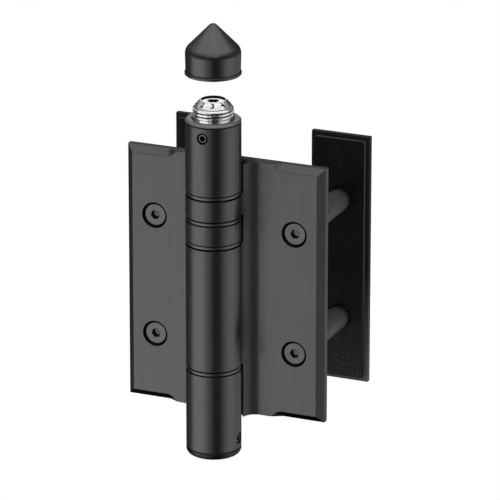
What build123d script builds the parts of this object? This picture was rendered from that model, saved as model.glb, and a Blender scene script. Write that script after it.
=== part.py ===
from build123d import *
import os
from math import acos, cos, radians, sin, sqrt, tan

os.makedirs("parts", exist_ok=True)

# A gate hinge that closes the gate by itself. All sizes are in millimetres.
# The origin is the centre of the post leaf's two screws, on the face that lies against the post.
# X runs along the leaves towards the gate, Y runs into the post, and Z is up along the barrel.

# Leaves
leaf_height = 127.0
leaf_reach = 50.8
leaf_thick = 5.85
leaf_gap = 3.0
bevel_width = 3.35
bevel_depth = 2.85
runout_reach = 30.0
runout_radius = 5.0
flank_radius = 6.6
axis_setback = 18.2

# Barrel, its knuckles from the top down and the spaces between them
barrel_radius = 13.2
slot_gap = 0.8
knuckle_edge = 0.3
washer_space = 2.0
washer_inset = 0.25
first_space_low = 49.55
knuckle_2_height = 10.35
knuckle_3_height = 9.9
knuckle_4_height = 61.1
barrel_above_leaf = 21.95
barrel_below_leaf = 13.5

# Screws, sleeves and clamp posts that hold each leaf to its back plate
screw_inset = 14.8
screw_pitch = 60.0
screw_radius = 3.0
screw_clearance = 0.2
screw_length = 46.0
screw_head_radius = 5.35
screw_head_recess = 1.0
screw_head_angle = 90.0
screw_hex = 4.0
screw_hex_depth = 2.4
sleeve_radius = 5.6
sleeve_seat_depth = 1.5
sleeve_seat_clearance = 0.1
sleeve_edge = 0.4
grip = 50.8
sleeve_reach = 25.4
thread_depth = 20.0
rivet_radius = 4.0

# Back plates and rubber pads
plate_width = 30.0
plate_side_inset = 0.15
plate_end_inset = 1.0
plate_thick = 2.95
plate_edge = 0.3
pad_inset = 2.0
pad_thick = 1.85
pad_corner = 1.0

# Fits
running_clearance = 0.05
end_clearance = 0.2
loose_gap = 0.3

# Damper in knuckles 1 to 3
pivot_radius = 8.5
bush_radius = 10.0
head_radius = 10.2
head_step_height = 3.5
oil_radius = 6.0
gland_length = 5.2
orifice_radius = 1.4
orifice_web = 3.0
orifice_drop = 27.45
piston_length = 6.0
piston_rise = 16.2
rod_radius = 2.5
rod_end_radius = 2.0
seal_section = 1.6

# Collar and dial on top of the barrel
collar_thick = 1.55
collar_spigot = 2.0
collar_bore = 9.0
collar_edge = 0.9
collar_dish = 1.4
dial_thread_radius = 9.65
dial_undercut = 0.9
dial_neck_radius = 8.4
dial_neck_rise = 1.1
dial_slope_rise = 5.9
dial_height = 8.9
dial_top_radius = 5.9
dial_shoulder_radius = 8.9
dial_rim_width = 0.15
dial_recess_radius = 4.8
dial_recess_depth = 0.45
dial_hex = 5.0
dial_hex_depth = 5.0
dial_stem_length = 15.75
needle_shank = 4.0
needle_length = 5.0
needle_taper = 4.0
needle_tip_radius = 0.4

# Closing drive in knuckle 4
shoulder_thick = 2.0
shoulder_drop = 8.0
shoulder_hole = 5.0
lower_bush_length = 7.0
cam_radius = 6.0
cam_length = 17.9
groove_depth = 1.8
groove_width = 4.0
cam_lead = 20.0
opening_angle = 180.0
pin_radius = 1.85
pin_height = 3.8
follower_roof = 2.6
key_width = 3.0
key_height = 1.15
spring_wire = 2.0
spring_turns = 5.5
spring_radius = 8.6

# Spindle foot, its hex socket and the plug under it
plug_thick = 3.6
plug_round = 2.6
plug_spigot = 2.0
plug_hole = 4.5
spindle_hex = 6.0
spindle_hex_depth = 9.0
lock_screw_radius = 2.5
lock_screw_inset = 0.5
lock_screw_hex = 2.5
lock_screw_hex_depth = 2.0
lock_groove_depth = 0.8
lock_from_end = 5.2

# Cap
cap_lift = 21.3
cap_rim_height = 1.6
cap_rim_proud = 0.15
cap_side_height = 12.1
cap_side_taper = 0.27
cap_cone_height = 13.5
cap_tip_radius = 2.6
cap_shoulder_radius = 5.0
cap_bore_clearance = 0.1
cap_bore_depth = 10.5
cap_drill_rise = 5.9

# Places worked out from the sizes above
screw_reach = leaf_reach - screw_inset
axis_x = screw_reach
axis_y = -axis_setback
face_set = axis_setback - leaf_thick
slot_radius = barrel_radius + slot_gap
half_height = leaf_height / 2
top_end = half_height + barrel_above_leaf
bottom_end = -half_height - barrel_below_leaf
knuckle_1_low = first_space_low + washer_space
knuckle_2_low = first_space_low - knuckle_2_height
knuckle_3_high = knuckle_2_low - washer_space
knuckle_3_low = knuckle_3_high - knuckle_3_height
knuckle_4_high = knuckle_3_low - washer_space
knuckle_4_low = knuckle_4_high - knuckle_4_height
knuckle_5_high = knuckle_4_low - washer_space
travel = cam_lead * opening_angle / 360
collar_top = top_end + collar_thick

barrel = Plane(origin=(axis_x, axis_y, 0))
barrel_section = Plane(origin=(axis_x, axis_y, 0), x_dir=(1, 0, 0), z_dir=(0, -1, 0))
barrel_axis = Axis((axis_x, axis_y, 0), (0, 0, 1))
mirror_plane = Plane(origin=(axis_x, axis_y, 0), x_dir=(0, 1, 0), z_dir=(1, 0, 0))
front_face = Plane(origin=(axis_x, axis_y + face_set, 0), x_dir=(1, 0, 0), z_dir=(0, -1, 0))
back_face = Plane(origin=(axis_x, 0, 0), x_dir=(1, 0, 0), z_dir=(0, 1, 0))
screw_places = [(screw_reach, -screw_pitch / 2), (screw_reach, screw_pitch / 2)]


def turned(*outline):
    """Turns an outline of (radius, height) points about the barrel's axis."""
    with BuildSketch(barrel_section) as profile:
        with BuildLine():
            Polyline(*outline, close=True)
        make_face()
    revolve(profile.sketch, axis=barrel_axis)


def bored(radius, low, high):
    """Bores a round hole along the barrel's axis between two heights."""
    with BuildSketch(barrel.offset(low)) as circle:
        Circle(radius)
    extrude(circle.sketch, amount=high - low, mode=Mode.SUBTRACT)


def knuckle(low, high):
    """Adds one knuckle of the barrel, with its two sharp edges broken."""
    turned(
        (0, low),
        (barrel_radius - knuckle_edge, low),
        (barrel_radius, low + knuckle_edge),
        (barrel_radius, high - knuckle_edge),
        (barrel_radius - knuckle_edge, high),
        (0, high),
    )


def hexagon(plane, across, depth):
    """Cuts a hexagon socket into the part, below a plane."""
    with BuildSketch(plane) as socket:
        RegularPolygon(across / 2, 6, major_radius=False)
    extrude(socket.sketch, amount=-depth, mode=Mode.SUBTRACT)


# Gate half of the plate that both leaves are machined from. It is drawn for the gate side, with the
# hollow flank that sweeps up to the barrel, and mirrored for the post side.
flank_reach = sqrt((barrel_radius + flank_radius) ** 2 - (face_set - flank_radius) ** 2)
flank_share = barrel_radius / (barrel_radius + flank_radius)
flank_end = (flank_reach * flank_share, (face_set - flank_radius) * flank_share)
runout_angle = acos((2 * runout_radius - bevel_width) / (2 * runout_radius))
runout_end = runout_reach - 2 * runout_radius * sin(runout_angle)
bevel_start = (flank_reach + runout_end) / 2


def bevelled_outline(outward):
    """Draws the flat face's outline, moved outward, with the two curved ends of the end bevels."""
    top = half_height + outward
    inner_arc = runout_radius + outward
    outer_arc = runout_radius - outward
    low_centre = half_height - runout_radius
    high_centre = half_height - bevel_width + runout_radius
    crest = (runout_end, top)
    crest_side = (
        runout_end + inner_arc * sin(runout_angle / 2),
        low_centre + inner_arc * cos(runout_angle / 2),
    )
    turn = (runout_end + inner_arc * sin(runout_angle), low_centre + inner_arc * cos(runout_angle))
    foot_side = (
        runout_reach - outer_arc * sin(runout_angle / 2),
        high_centre - outer_arc * cos(runout_angle / 2),
    )
    foot = (runout_reach, high_centre - outer_arc)
    corner = (leaf_reach - bevel_width + outward, foot[1])
    Line((bevel_start, 0), (bevel_start, top))
    Line((bevel_start, top), crest)
    ThreePointArc(crest, crest_side, turn)
    ThreePointArc(turn, foot_side, foot)
    Line(foot, corner)
    Line(corner, (corner[0], 0))
    mirror(about=Plane.XZ)


with BuildPart() as bevelled_front:
    with BuildSketch(front_face):
        with BuildLine():
            bevelled_outline(0)
        make_face()
    with BuildSketch(front_face.offset(-bevel_depth)):
        with BuildLine():
            bevelled_outline(bevel_width)
        make_face()
    loft(ruled=True)
    with BuildSketch(front_face.offset(-bevel_depth)):
        with Locations((leaf_reach / 2, 0)):
            Rectangle(leaf_reach, leaf_height)
    extrude(amount=bevel_depth, mode=Mode.INTERSECT)

with BuildPart() as plate:
    with BuildSketch(barrel.offset(-half_height)):
        with BuildLine():
            Line((leaf_gap / 2, 0), (leaf_gap / 2, axis_setback))
            Line((leaf_gap / 2, axis_setback), (bevel_start, axis_setback))
            Line((bevel_start, axis_setback), (bevel_start, face_set))
            Line((bevel_start, face_set), (flank_reach, face_set))
            TangentArc((flank_reach, face_set), flank_end, tangent=(-1, 0))
            Line(flank_end, (leaf_gap / 2, 0))
        make_face()
    extrude(amount=leaf_height)
    with BuildSketch(barrel.offset(-half_height)):
        with Locations((bevel_start, axis_setback)):
            Rectangle(
                leaf_reach - bevel_start,
                leaf_thick - bevel_depth,
                align=(Align.MIN, Align.MAX),
            )
    extrude(amount=leaf_height)
    add(bevelled_front.part)
    with Locations(front_face):
        with Locations(*screw_places):
            CounterSinkHole(
                radius=screw_radius + screw_clearance,
                counter_sink_radius=screw_head_radius + screw_head_recess,
                counter_sink_angle=screw_head_angle,
            )
    with Locations(back_face):
        with Locations(*screw_places):
            Hole(sleeve_radius + sleeve_seat_clearance, depth=sleeve_seat_depth)

# Post leaf with knuckles 1, 3 and 5. Knuckle 1 has a stepped bore for the damper's head, and knuckle 5
# is bored for the spindle. Both have a cross hole for a lock screw.
with BuildPart() as post_leaf:
    mirror(plate.part, about=mirror_plane)
    bored(slot_radius, knuckle_3_high, knuckle_1_low)
    bored(slot_radius, knuckle_5_high, knuckle_3_low)
    knuckle(knuckle_1_low, top_end)
    knuckle(knuckle_3_low, knuckle_3_high)
    knuckle(bottom_end, knuckle_5_high)
    bored(pivot_radius + running_clearance, bottom_end, top_end)
    bored(head_radius, knuckle_1_low + head_step_height, top_end)
    bored(head_radius, bottom_end, bottom_end + plug_spigot)
    with BuildSketch(Plane(origin=(axis_x, axis_y, top_end - lock_from_end), z_dir=(0, -1, 0))):
        Circle(lock_screw_radius)
    extrude(amount=barrel_radius + knuckle_edge, mode=Mode.SUBTRACT)
    with BuildSketch(Plane(origin=(axis_x, axis_y, bottom_end + lock_from_end), z_dir=(1, 0, 0))):
        Circle(lock_screw_radius)
    extrude(amount=barrel_radius + knuckle_edge, mode=Mode.SUBTRACT)
post_leaf.part.label = "post_leaf"
export_step(post_leaf.part, "parts/post_leaf.step")

# Gate leaf with knuckles 2 and 4. Knuckle 4 is bored from both ends up to a shoulder that the closing
# spring pushes on, and two keyways run up its lower bore for the follower's keys.
shoulder_high = knuckle_4_high - shoulder_drop
shoulder_low = shoulder_high - shoulder_thick
keyway_reach = bush_radius + key_height + running_clearance

with BuildPart() as gate_leaf:
    add(plate.part)
    bored(slot_radius, first_space_low, half_height)
    bored(slot_radius, knuckle_4_high, knuckle_2_low)
    bored(slot_radius, -half_height, knuckle_4_low)
    knuckle(knuckle_2_low, first_space_low)
    knuckle(knuckle_4_low, knuckle_4_high)
    bored(bush_radius, knuckle_2_low, first_space_low)
    bored(shoulder_hole, knuckle_4_low, knuckle_4_high)
    bored(bush_radius, knuckle_4_low, shoulder_low)
    bored(bush_radius, shoulder_high, knuckle_4_high)
    with BuildSketch(barrel.offset(knuckle_4_low)):
        Rectangle(key_width + 2 * running_clearance, 2 * keyway_reach)
    extrude(amount=shoulder_low - knuckle_4_low, mode=Mode.SUBTRACT)
gate_leaf.part.label = "gate_leaf"
export_step(gate_leaf.part, "parts/gate_leaf.step")

# Thrust washers, one in each space between two knuckles. Each lies on a knuckle of the post leaf and
# leaves a running clearance to the gate leaf's knuckle.
washer_thick = washer_space - end_clearance
washer_seats = [knuckle_1_low - washer_thick, knuckle_3_high, knuckle_3_low - washer_thick, knuckle_5_high]
washer_outer = barrel_radius - washer_inset

for number, seat in enumerate(washer_seats, start=1):
    with BuildPart() as washer:
        turned(
            (pivot_radius + running_clearance, seat),
            (washer_outer - knuckle_edge, seat),
            (washer_outer, seat + knuckle_edge),
            (washer_outer, seat + washer_thick - knuckle_edge),
            (washer_outer - knuckle_edge, seat + washer_thick),
            (pivot_radius + running_clearance, seat + washer_thick),
        )
    washer.part.label = f"thrust_washer_{number}"
    export_step(washer.part, f"parts/thrust_washer_{number}.step")

# Bushes pressed in the gate leaf's knuckles. They run on the damper cylinder and on the spindle.
bushes = {
    "upper_bush": (knuckle_2_low, first_space_low),
    "middle_bush": (shoulder_high, knuckle_4_high),
    "lower_bush": (knuckle_4_low, knuckle_4_low + lower_bush_length),
}

for name, (low, high) in bushes.items():
    with BuildPart() as bush:
        turned(
            (pivot_radius + running_clearance, low),
            (bush_radius, low),
            (bush_radius, high),
            (pivot_radius + running_clearance, high),
        )
    bush.part.label = name
    export_step(bush.part, f"parts/{name}.step")

# Spindle, locked in knuckle 5. Its upper end is a cam with two helical grooves that start on opposite
# sides. When the gate swings open, the follower's pins climb the grooves and squeeze the spring.
spindle_foot = bottom_end + plug_spigot + loose_gap
spindle_shoulder = knuckle_4_low + lower_bush_length + loose_gap
cam_top = spindle_shoulder + cam_length
pin_low = spindle_shoulder + loose_gap + pin_height
spindle_lock = bottom_end + lock_from_end
lock_groove_half = lock_screw_radius + running_clearance

with BuildPart() as groove:
    with BuildLine():
        turn_path = Helix(
            pitch=cam_lead,
            height=travel,
            radius=cam_radius,
            center=(axis_x, axis_y, pin_low),
            lefthand=True,
        )
    with BuildSketch(Plane(origin=turn_path @ 0, x_dir=(1, 0, 0), z_dir=turn_path % 0)):
        Rectangle(2 * groove_depth + groove_width, groove_width)
    sweep(is_frenet=True)
    with BuildSketch(Plane(origin=(axis_x, axis_y, pin_low), z_dir=(1, 0, 0))):
        Circle(groove_width / 2)
    extrude(amount=cam_radius + groove_depth)
    with BuildSketch(Plane(origin=(axis_x, axis_y, pin_low + travel), z_dir=(-1, 0, 0))):
        Circle(groove_width / 2)
    extrude(amount=cam_radius + groove_depth)
    with BuildSketch(barrel.offset(pin_low - groove_width)):
        Circle(cam_radius - groove_depth)
    extrude(amount=travel + 2 * groove_width, mode=Mode.SUBTRACT)

with BuildPart() as spindle:
    turned(
        (0, spindle_foot),
        (pivot_radius, spindle_foot),
        (pivot_radius, spindle_lock - lock_groove_half),
        (pivot_radius - lock_groove_depth, spindle_lock - lock_groove_half),
        (pivot_radius - lock_groove_depth, spindle_lock + lock_groove_half),
        (pivot_radius, spindle_lock + lock_groove_half),
        (pivot_radius, spindle_shoulder),
        (cam_radius, spindle_shoulder),
        (cam_radius, cam_top),
        (0, cam_top),
    )
    add(groove.part, mode=Mode.SUBTRACT)
    add(groove.part.rotate(barrel_axis, 180), mode=Mode.SUBTRACT)
    foot_face = Plane(origin=(axis_x, axis_y, spindle_foot), z_dir=(0, 0, -1))
    hexagon(foot_face, spindle_hex, spindle_hex_depth)
spindle.part.label = "spindle"
export_step(spindle.part, "parts/spindle.step")

# Follower, a cup that slides on the cam inside knuckle 4. Its two keys make it turn with the gate.
follower_low = spindle_shoulder + loose_gap
follower_roof_low = cam_top + loose_gap
follower_top = follower_roof_low + follower_roof
follower_radius = bush_radius - running_clearance

with BuildPart() as follower:
    with BuildSketch(barrel.offset(follower_low)):
        Circle(follower_radius)
        Rectangle(key_width, 2 * (bush_radius + key_height))
    extrude(amount=follower_top - follower_low)
    bored(cam_radius + running_clearance, follower_low, follower_roof_low)
    bored(rod_end_radius, follower_roof_low, follower_top)
    with BuildSketch(Plane(origin=(axis_x - bush_radius, axis_y, pin_low), z_dir=(1, 0, 0))):
        Circle(pin_radius)
    extrude(amount=2 * bush_radius, mode=Mode.SUBTRACT)
follower.part.label = "follower"
export_step(follower.part, "parts/follower.step")

# Two drive pins, pressed in the follower, that run in the spindle's grooves.
pin_inner = cam_radius - groove_depth + running_clearance
pin_outer = follower_radius - loose_gap

with BuildPart() as drive_pins:
    for side in (-1, 1):
        with BuildSketch(
            Plane(origin=(axis_x + side * pin_inner, axis_y, pin_low), z_dir=(side, 0, 0))
        ):
            Circle(pin_radius)
        extrude(amount=pin_outer - pin_inner)
drive_pins.part.label = "drive_pins"
export_step(drive_pins.part, "parts/drive_pins.step")

# Closing spring between the follower and the shoulder in knuckle 4, with both ends ground flat.
spring_low = follower_top
spring_high = shoulder_low

with BuildPart() as closing_spring:
    with BuildLine():
        coil_path = Helix(
            pitch=(spring_high - spring_low - spring_wire / 2) / spring_turns,
            height=spring_high - spring_low - spring_wire / 2,
            radius=spring_radius,
            center=(axis_x, axis_y, spring_low + spring_wire / 4),
        )
    with BuildSketch(Plane(origin=coil_path @ 0, x_dir=(1, 0, 0), z_dir=coil_path % 0)):
        Circle(spring_wire / 2)
    sweep(is_frenet=True)
    with BuildSketch(barrel.offset(spring_low)):
        Circle(bush_radius)
    extrude(amount=spring_high - spring_low, mode=Mode.INTERSECT)
closing_spring.part.label = "closing_spring"
export_step(closing_spring.part, "parts/closing_spring.step")

# Damper cylinder. Its tube is the pivot of the gate leaf's upper knuckles, and its head sits on the
# step in knuckle 1. A web with a small orifice parts the oil chamber from the dial's valve.
cylinder_low = shoulder_high + loose_gap
head_low = knuckle_1_low + head_step_height
head_high = top_end - collar_spigot
web_low = top_end - orifice_drop
web_high = web_low + orifice_web
damper_lock = top_end - lock_from_end
lock_floor = head_radius - lock_groove_depth

with BuildPart() as damper_cylinder:
    turned(
        (oil_radius, cylinder_low),
        (pivot_radius, cylinder_low),
        (pivot_radius, head_low),
        (head_radius - running_clearance, head_low),
        (head_radius - running_clearance, damper_lock - lock_groove_half),
        (lock_floor, damper_lock - lock_groove_half),
        (lock_floor, damper_lock + lock_groove_half),
        (head_radius - running_clearance, damper_lock + lock_groove_half),
        (head_radius - running_clearance, head_high),
        (oil_radius, head_high),
        (oil_radius, web_high),
        (orifice_radius, web_high),
        (orifice_radius, web_low),
        (oil_radius, web_low),
    )
damper_cylinder.part.label = "damper_cylinder"
export_step(damper_cylinder.part, "parts/damper_cylinder.step")

# Gland that closes the cylinder's lower end round the rod, and the seal ring in its groove.
gland_high = cylinder_low + gland_length
seal_low = cylinder_low + (gland_length - seal_section) / 2
seal_high = seal_low + seal_section
rod_hole = rod_radius + running_clearance

with BuildPart() as rod_gland:
    turned(
        (rod_hole, cylinder_low),
        (oil_radius, cylinder_low),
        (oil_radius, gland_high),
        (rod_hole, gland_high),
        (rod_hole, seal_high),
        (rod_hole + seal_section, seal_high),
        (rod_hole + seal_section, seal_low),
        (rod_hole, seal_low),
    )
rod_gland.part.label = "rod_gland"
export_step(rod_gland.part, "parts/rod_gland.step")

with BuildPart() as rod_seal:
    turned(
        (rod_hole, seal_low),
        (rod_hole + seal_section, seal_low),
        (rod_hole + seal_section, seal_high),
        (rod_hole, seal_high),
    )
rod_seal.part.label = "rod_seal"
export_step(rod_seal.part, "parts/rod_seal.step")

# Piston rod from the follower's roof up to the piston, with a thinner threaded end at each.
piston_low = cylinder_low + piston_rise
piston_high = piston_low + piston_length

with BuildPart() as piston_rod:
    turned(
        (0, follower_roof_low),
        (rod_end_radius, follower_roof_low),
        (rod_end_radius, follower_top),
        (rod_radius, follower_top),
        (rod_radius, piston_low),
        (rod_end_radius, piston_low),
        (rod_end_radius, piston_high),
        (0, piston_high),
    )
piston_rod.part.label = "piston_rod"
export_step(piston_rod.part, "parts/piston_rod.step")

# Piston and the seal ring in the groove round it.
piston_radius = oil_radius - running_clearance
ring_low = piston_low + (piston_length - seal_section) / 2
ring_high = ring_low + seal_section

with BuildPart() as piston:
    turned(
        (rod_end_radius, piston_low),
        (piston_radius, piston_low),
        (piston_radius, ring_low),
        (piston_radius - seal_section, ring_low),
        (piston_radius - seal_section, ring_high),
        (piston_radius, ring_high),
        (piston_radius, piston_high),
        (rod_end_radius, piston_high),
    )
piston.part.label = "piston"
export_step(piston.part, "parts/piston.step")

with BuildPart() as piston_seal:
    turned(
        (piston_radius - seal_section, ring_low),
        (piston_radius, ring_low),
        (piston_radius, ring_high),
        (piston_radius - seal_section, ring_high),
    )
piston_seal.part.label = "piston_seal"
export_step(piston_seal.part, "parts/piston_seal.step")

# Collar on the barrel's top end. Its spigot is pressed in knuckle 1 and holds the damper down, and its
# top is dished round the dial's neck.
with BuildPart() as top_collar:
    turned(
        (collar_bore, head_high),
        (head_radius, head_high),
        (head_radius, top_end),
        (barrel_radius - knuckle_edge, top_end),
        (barrel_radius, top_end + knuckle_edge),
        (barrel_radius, collar_top - collar_edge),
        (barrel_radius - collar_edge, collar_top),
        (collar_bore + collar_dish, collar_top),
        (collar_bore, collar_top - collar_dish),
    )
top_collar.part.label = "top_collar"
export_step(top_collar.part, "parts/top_collar.step")

# Plug pressed in the barrel's bottom end, with a hole for the hex key that sets the spring.
plug_low = bottom_end - plug_thick

with BuildPart() as bottom_plug:
    turned(
        (plug_hole, plug_low),
        (barrel_radius, plug_low),
        (barrel_radius, bottom_end - knuckle_edge),
        (barrel_radius - knuckle_edge, bottom_end),
        (head_radius, bottom_end),
        (head_radius, bottom_end + plug_spigot),
        (plug_hole, bottom_end + plug_spigot),
    )
    fillet(bottom_plug.edges().group_by(Axis.Z)[0].sort_by(SortBy.RADIUS)[-1], plug_round)
bottom_plug.part.label = "bottom_plug"
export_step(bottom_plug.part, "parts/bottom_plug.step")

# Speed dial, turned in one piece: stem in the damper's head, neck, thread for the cap, the slope that
# carries the numbers, and a thin rim round the dished floor with the hex socket.
dial_top = collar_top + dial_height
thread_low = collar_top + dial_neck_rise
neck_low = head_high + loose_gap
stem_low = neck_low - dial_stem_length
stem_radius = oil_radius - running_clearance
stem_ring_low = stem_low + dial_stem_length / 2
stem_ring_high = stem_ring_low + seal_section

with BuildPart() as speed_dial:
    turned(
        (0, stem_low),
        (stem_radius, stem_low),
        (stem_radius, stem_ring_low),
        (stem_radius - seal_section, stem_ring_low),
        (stem_radius - seal_section, stem_ring_high),
        (stem_radius, stem_ring_high),
        (stem_radius, neck_low),
        (dial_neck_radius, neck_low),
        (dial_neck_radius, thread_low - dial_undercut),
        (dial_thread_radius, thread_low),
        (dial_thread_radius, collar_top + dial_slope_rise - dial_undercut),
        (dial_shoulder_radius, collar_top + dial_slope_rise),
        (dial_top_radius, dial_top),
        (dial_top_radius - dial_rim_width, dial_top),
        (dial_recess_radius, dial_top - dial_recess_depth),
        (0, dial_top - dial_recess_depth),
    )
    hexagon(barrel.offset(dial_top - dial_recess_depth), dial_hex, dial_hex_depth)
    bored(rod_end_radius, stem_low, stem_low + needle_shank)
speed_dial.part.label = "speed_dial"
export_step(speed_dial.part, "parts/speed_dial.step")

with BuildPart() as dial_seal:
    turned(
        (stem_radius - seal_section, stem_ring_low),
        (stem_radius, stem_ring_low),
        (stem_radius, stem_ring_high),
        (stem_radius - seal_section, stem_ring_high),
    )
dial_seal.part.label = "dial_seal"
export_step(dial_seal.part, "parts/dial_seal.step")

# Needle valve, pressed in the dial's stem. Its taper reaches into the orifice and throttles the oil.
taper_high = stem_low - needle_length

with BuildPart() as needle_valve:
    turned(
        (0, taper_high - needle_taper),
        (needle_tip_radius, taper_high - needle_taper),
        (rod_end_radius, taper_high),
        (rod_end_radius, stem_low + needle_shank),
        (0, stem_low + needle_shank),
    )
needle_valve.part.label = "needle_valve"
export_step(needle_valve.part, "parts/needle_valve.step")

# Lock screws with a hex socket. One holds the damper's head in knuckle 1 from the front, the other
# holds the spindle in knuckle 5 from the gate's side.
lock_screws = {
    "damper_lock_screw": (damper_lock, lock_floor, (0, -1, 0)),
    "spindle_lock_screw": (spindle_lock, pivot_radius - lock_groove_depth, (1, 0, 0)),
}

for name, (height, tip, outward) in lock_screws.items():
    across = Plane(origin=(axis_x, axis_y, height), z_dir=outward)
    with BuildPart() as lock_screw:
        with BuildSketch(across.offset(tip)):
            Circle(lock_screw_radius)
        extrude(amount=barrel_radius - lock_screw_inset - tip)
        hexagon(across.offset(barrel_radius - lock_screw_inset), lock_screw_hex, lock_screw_hex_depth)
    lock_screw.part.label = name
    export_step(lock_screw.part, f"parts/{name}.step")

# Cap, shown lifted off. It is bored for the dial's thread up to the mark of the drill. Its side draws
# in a little towards the rim, which stands proud of it.
cap_low = collar_top + cap_lift
cap_side_top = cap_low + cap_side_height
cap_point = cap_side_top + cap_cone_height
cap_slope = cap_cone_height / barrel_radius
cap_slant = sqrt(1 + cap_slope**2)
tip_centre = cap_point - cap_tip_radius * cap_slant
tip_side = (
    cap_tip_radius * cap_slope / cap_slant,
    tip_centre + cap_tip_radius / cap_slant,
)
cap_bore = dial_thread_radius + cap_bore_clearance
rim_radius = barrel_radius + cap_rim_proud
rim_top = cap_low + cap_rim_height
side_foot_radius = barrel_radius - cap_side_taper

with BuildPart() as cap:
    with BuildSketch(barrel_section):
        with BuildLine():
            Polyline(
                (0, cap_low + cap_bore_depth + cap_drill_rise),
                (cap_bore, cap_low + cap_bore_depth),
                (cap_bore, cap_low),
                (rim_radius - knuckle_edge, cap_low),
                (rim_radius, cap_low + knuckle_edge),
                (rim_radius, rim_top - knuckle_edge),
                (side_foot_radius - knuckle_edge, rim_top),
                (side_foot_radius, rim_top + knuckle_edge),
                (barrel_radius, cap_side_top),
                tip_side,
            )
            TangentArc(tip_side, (0, tip_centre + cap_tip_radius), tangent=(-1, cap_slope))
            Line((0, tip_centre + cap_tip_radius), (0, cap_low + cap_bore_depth + cap_drill_rise))
        make_face()
    revolve(axis=barrel_axis)
    shoulder = cap.edges().filter_by(GeomType.CIRCLE).filter_by_position(
        Axis.Z, cap_side_top - loose_gap, cap_side_top + loose_gap
    )
    fillet(shoulder, cap_shoulder_radius)
cap.part.label = "cap"
export_step(cap.part, "parts/cap.step")

# Clamp of one leaf, drawn for the gate side: screws from the front, sleeves that seat in the leaf's
# back, clamp posts riveted in the back plate, the plate itself and the rubber pad on it. The sleeves
# and posts meet half way through the gate.
pad_front = grip
plate_front = pad_front + pad_thick
plate_back = plate_front + plate_thick
head_face = front_face.offset(-screw_head_recess)
head_taper = (screw_head_radius - screw_radius) / tan(radians(screw_head_angle / 2))
plate_height = leaf_height - 2 * plate_end_inset
plate_reach = leaf_reach - plate_side_inset - plate_width / 2

with BuildPart() as gate_screws:
    for reach, height in screw_places:
        axis = Axis((axis_x + reach, 0, height), (0, 1, 0))
        head_front = head_face.origin.Y
        with BuildSketch(Plane(origin=(axis_x + reach, 0, height))):
            with BuildLine():
                Polyline(
                    (0, head_front),
                    (screw_head_radius, head_front),
                    (screw_radius, head_front + head_taper),
                    (screw_radius, head_front + screw_length),
                    (0, head_front + screw_length),
                    close=True,
                )
            make_face()
        revolve(axis=axis)
        socket = Plane(origin=(axis_x + reach, head_front, height), x_dir=(1, 0, 0), z_dir=(0, -1, 0))
        hexagon(socket, screw_hex, screw_hex_depth)
gate_screws.part.label = "gate_screws"
export_step(gate_screws.part, "parts/gate_screws.step")

with BuildPart() as gate_sleeves:
    with BuildSketch(back_face.offset(-sleeve_seat_depth)):
        with Locations(*screw_places):
            Circle(sleeve_radius)
            Circle(screw_radius + screw_clearance, mode=Mode.SUBTRACT)
    extrude(amount=sleeve_seat_depth + sleeve_reach)
    rims = gate_sleeves.edges().filter_by(GeomType.CIRCLE).group_by(Axis.Y)[-1]
    chamfer(rims.group_by(SortBy.RADIUS)[-1], sleeve_edge)
gate_sleeves.part.label = "gate_sleeves"
export_step(gate_sleeves.part, "parts/gate_sleeves.step")

with BuildPart() as gate_clamp_posts:
    with BuildSketch(back_face.offset(sleeve_reach)):
        with Locations(*screw_places):
            Circle(sleeve_radius)
    extrude(amount=plate_front - sleeve_reach)
    rims = gate_clamp_posts.edges().filter_by(GeomType.CIRCLE).group_by(Axis.Y)[0]
    chamfer(rims, sleeve_edge)
    with BuildSketch(back_face.offset(plate_front)):
        with Locations(*screw_places):
            Circle(rivet_radius)
    extrude(amount=plate_thick)
    with BuildSketch(back_face.offset(sleeve_reach)):
        with Locations(*screw_places):
            Circle(screw_radius)
    extrude(amount=thread_depth, mode=Mode.SUBTRACT)
gate_clamp_posts.part.label = "gate_clamp_posts"
export_step(gate_clamp_posts.part, "parts/gate_clamp_posts.step")

with BuildPart() as gate_back_plate:
    with BuildSketch(back_face.offset(plate_front)):
        with Locations((plate_reach, 0)):
            Rectangle(plate_width, plate_height)
        with Locations(*screw_places):
            Circle(rivet_radius, mode=Mode.SUBTRACT)
    extrude(amount=plate_thick)
    outline = gate_back_plate.faces().sort_by(Axis.Y)[-1].outer_wire()
    chamfer(outline.edges(), plate_edge)
gate_back_plate.part.label = "gate_back_plate"
export_step(gate_back_plate.part, "parts/gate_back_plate.step")

with BuildPart() as gate_pad:
    with BuildSketch(back_face.offset(pad_front)):
        with Locations((plate_reach, 0)):
            RectangleRounded(plate_width - 2 * pad_inset, plate_height - 2 * pad_inset, pad_corner)
        with Locations(*screw_places):
            Circle(sleeve_radius + sleeve_seat_clearance, mode=Mode.SUBTRACT)
    extrude(amount=pad_thick)
gate_pad.part.label = "gate_pad"
export_step(gate_pad.part, "parts/gate_pad.step")

# The post's clamp is the same, mirrored across the barrel.
clamp_pieces = [gate_screws, gate_sleeves, gate_clamp_posts, gate_back_plate, gate_pad]

for gate_piece in clamp_pieces:
    name = gate_piece.part.label.replace("gate", "post")
    with BuildPart() as post_piece:
        mirror(gate_piece.part, about=mirror_plane)
    post_piece.part.label = name
    export_step(post_piece.part, f"parts/{name}.step")
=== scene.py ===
from math import cos, floor, pi, radians, sin

import bmesh
import bpy
from mathutils import Matrix, Vector


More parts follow.
